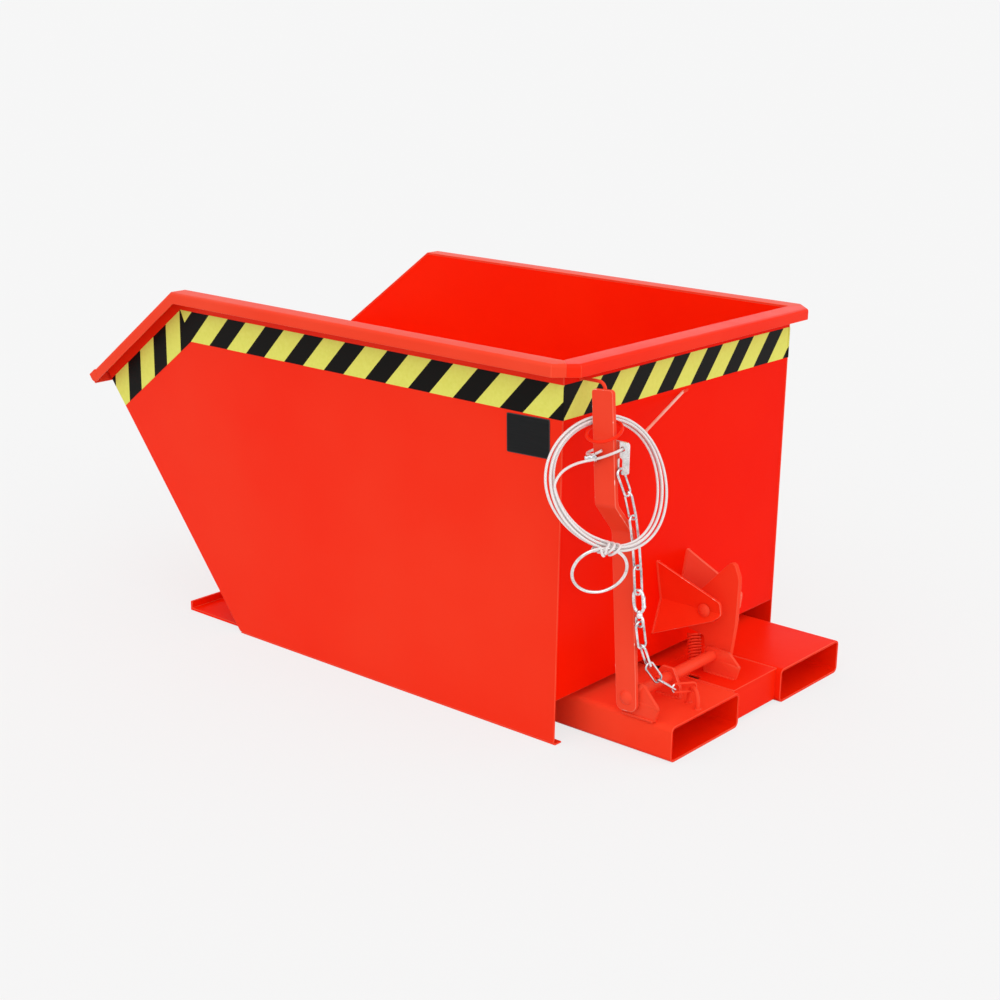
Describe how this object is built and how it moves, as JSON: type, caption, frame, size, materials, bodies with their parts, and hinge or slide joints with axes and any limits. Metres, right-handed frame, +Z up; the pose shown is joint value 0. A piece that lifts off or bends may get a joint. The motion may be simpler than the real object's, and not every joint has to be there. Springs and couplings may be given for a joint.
{
  "type": "fork-lift tipping skip",
  "caption": "Sheet steel tipping skip on fork pockets: sloped pouring front, folded rim, and a rear lever latch with hook, return spring, safety chain and pull rope.",
  "frame": {"origin": "middle of the footprint at floor level, without the rope", "axes": "+X to the rear, where the forks go in and the latch is; -X to the pouring lip; +Z up; lever on the -Y side"},
  "size_m": [1.3317, 0.781, 0.645],
  "materials": {
    "red_paint": "gloss red-orange paint",
    "zinc": "bright zinc plate",
    "rope": "steel wire rope in a clear coat"
  },
  "bodies": {
    "base_frame": {"fork_pocket_near": "red_paint", "fork_pocket_far": "red_paint", "rear_cross_plate": "red_paint", "front_tray": "red_paint", "rest_bar_front": "red_paint", "rest_bar_rear": "red_paint", "tip_lugs_frame": "red_paint", "tip_pins": "red_paint", "shaft_lug_lever": "red_paint", "shaft_lug_middle": "red_paint", "shaft_lug_hook": "red_paint", "chain_staple": "red_paint", "safety_chain": "zinc", "snap_hook": "zinc", "latch_spring": "red_paint"},
    "skip": {"side_plate_near": "red_paint", "side_plate_far": "red_paint", "runner_near": "red_paint", "runner_far": "red_paint", "skip_floor": "red_paint", "rear_wall": "red_paint", "front_wall": "red_paint", "rim_near": "red_paint", "rim_far": "red_paint", "rim_rear": "red_paint", "pouring_lip": "red_paint", "striker_cheek_near": "red_paint", "striker_cheek_far": "red_paint", "striker_pin": "red_paint", "lever_keeper": "red_paint", "rope_hanger": "red_paint", "tip_lugs_skip": "red_paint"},
    "latch": {"latch_shaft": "red_paint", "lever": "red_paint", "shaft_cap": "red_paint", "latch_hook": "red_paint", "chain_plate": "zinc", "lever_ring": "red_paint", "rope_coil": "rope", "rope_tail": "rope", "rope_clamp": "zinc", "rope_eye": "rope", "pull_ring": "zinc"}
  },
  "joints": [
    {"name": "skip_tip", "type": "hinge", "parent": "base_frame", "child": "skip", "pos_m": [-0.294, 0, 0.04], "axis": [0, -1, 0], "range_deg": [0, 52]},
    {"name": "latch_release", "type": "hinge", "parent": "base_frame", "child": "latch", "pos_m": [0.581, 0, 0.095], "axis": [0, 1, 0], "range_deg": [0, 22], "stiffness_Nm_per_rad": 6, "springref_deg": -22.92, "deforming": ["safety_chain", "snap_hook", "latch_spring"]}
  ]
}
